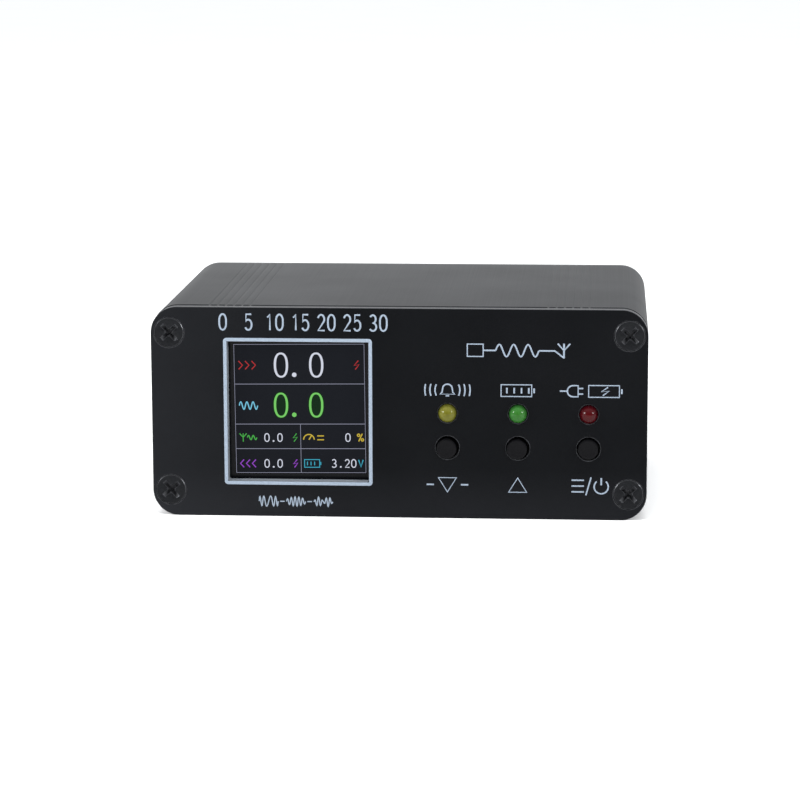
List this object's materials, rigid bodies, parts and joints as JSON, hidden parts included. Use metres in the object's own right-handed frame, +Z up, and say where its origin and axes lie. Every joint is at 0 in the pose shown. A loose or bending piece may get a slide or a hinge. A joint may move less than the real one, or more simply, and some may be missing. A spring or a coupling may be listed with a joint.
{
  "type": "swr meter",
  "caption": "Pocket SWR and power meter: black extruded case with a square colour display, three lamps and three push buttons in front, and two threaded coaxial sockets behind.",
  "frame": {"origin": "middle of the case's underside, half way between the outer faces of the two panels", "axes": "+Z up; the front panel faces -Y; +X to the right of someone who reads the display"},
  "size_m": [0.088, 0.0781, 0.0378],
  "materials": {
    "case": "black anodised extrusion, satin",
    "panel": "black anodised sheet with a fine blasted grain",
    "panel_screw": "black-oxide steel",
    "socket_screw": "nickel-plated steel",
    "display": "glossy black display glass",
    "backlight": "white light guide in a thin frame",
    "ribbon": "amber polyimide ribbon",
    "foam": "closed-cell foam",
    "board": "green solder mask on glass-fibre board",
    "black_plastic": "moulded black plastic",
    "chip": "black moulding compound",
    "cream_plastic": "natural nylon",
    "ferrite": "dark grey ferrite",
    "copper_wire": "enamelled copper",
    "tinned_wire": "tinned copper",
    "nickel": "satin nickel plate",
    "battery_foil": "laminated foil pouch",
    "red_wire": "silicone insulation",
    "black_wire": "silicone insulation",
    "yellow_lamp": "tinted clear resin",
    "green_lamp": "tinted clear resin",
    "red_lamp": "tinted clear resin",
    "button": "black moulded stem",
    "spring_steel": "stamped spring steel",
    "insulator": "white PTFE",
    "contact": "silver-plated brass"
  },
  "bodies": {
    "meter": {"case_top": "case", "case_bottom": "case", "front_panel": "panel", "rear_panel": "panel", "display_glass": "display", "display_backlight": "backlight", "display_flex": "ribbon", "display_pad": "foam", "front_board": "board", "main_board": "board", "board_header": "black_plastic", "microcontroller": "chip", "charger_chip": "chip", "trimmer": "cream_plastic", "sensing_core": "ferrite", "sensing_winding": "copper_wire", "line_wire": "tinned_wire", "usb_shell": "nickel", "usb_tongue": "black_plastic", "battery": "battery_foil", "battery_pad": "foam", "battery_header": "cream_plastic", "battery_plug": "cream_plastic", "battery_red_wire": "red_wire", "battery_black_wire": "black_wire", "alert_lamp": "yellow_lamp", "full_lamp": "green_lamp", "charge_lamp": "red_lamp", "down_switch_body": "black_plastic", "down_switch_dome": "spring_steel", "up_switch_body": "black_plastic", "up_switch_dome": "spring_steel", "power_switch_body": "black_plastic", "power_switch_dome": "spring_steel", "antenna_socket": "nickel", "antenna_insulator": "insulator", "antenna_contact": "contact", "antenna_screw_top_left": "socket_screw", "antenna_screw_top_right": "socket_screw", "antenna_screw_bottom_left": "socket_screw", "antenna_screw_bottom_right": "socket_screw", "transmitter_socket": "nickel", "transmitter_insulator": "insulator", "transmitter_contact": "contact", "transmitter_screw_top_left": "socket_screw", "transmitter_screw_top_right": "socket_screw", "transmitter_screw_bottom_left": "socket_screw", "transmitter_screw_bottom_right": "socket_screw", "front_screw_top_left": "panel_screw", "rear_screw_top_left": "panel_screw", "front_screw_top_right": "panel_screw", "rear_screw_top_right": "panel_screw", "front_screw_bottom_left": "panel_screw", "rear_screw_bottom_left": "panel_screw", "front_screw_bottom_right": "panel_screw", "rear_screw_bottom_right": "panel_screw"},
    "down_key": {"down_button": "button"},
    "up_key": {"up_button": "button"},
    "power_key": {"power_button": "button"}
  },
  "joints": [
    {"name": "down_press", "type": "slide", "parent": "meter", "child": "down_key", "axis": [0, 1, 0], "range_m": [0, 0.00025], "stiffness_N_per_m": 400, "springref_m": -0.0015},
    {"name": "up_press", "type": "slide", "parent": "meter", "child": "up_key", "axis": [0, 1, 0], "range_m": [0, 0.00025], "stiffness_N_per_m": 400, "springref_m": -0.0015},
    {"name": "power_press", "type": "slide", "parent": "meter", "child": "power_key", "axis": [0, 1, 0], "range_m": [0, 0.00025], "stiffness_N_per_m": 400, "springref_m": -0.0015}
  ]
}
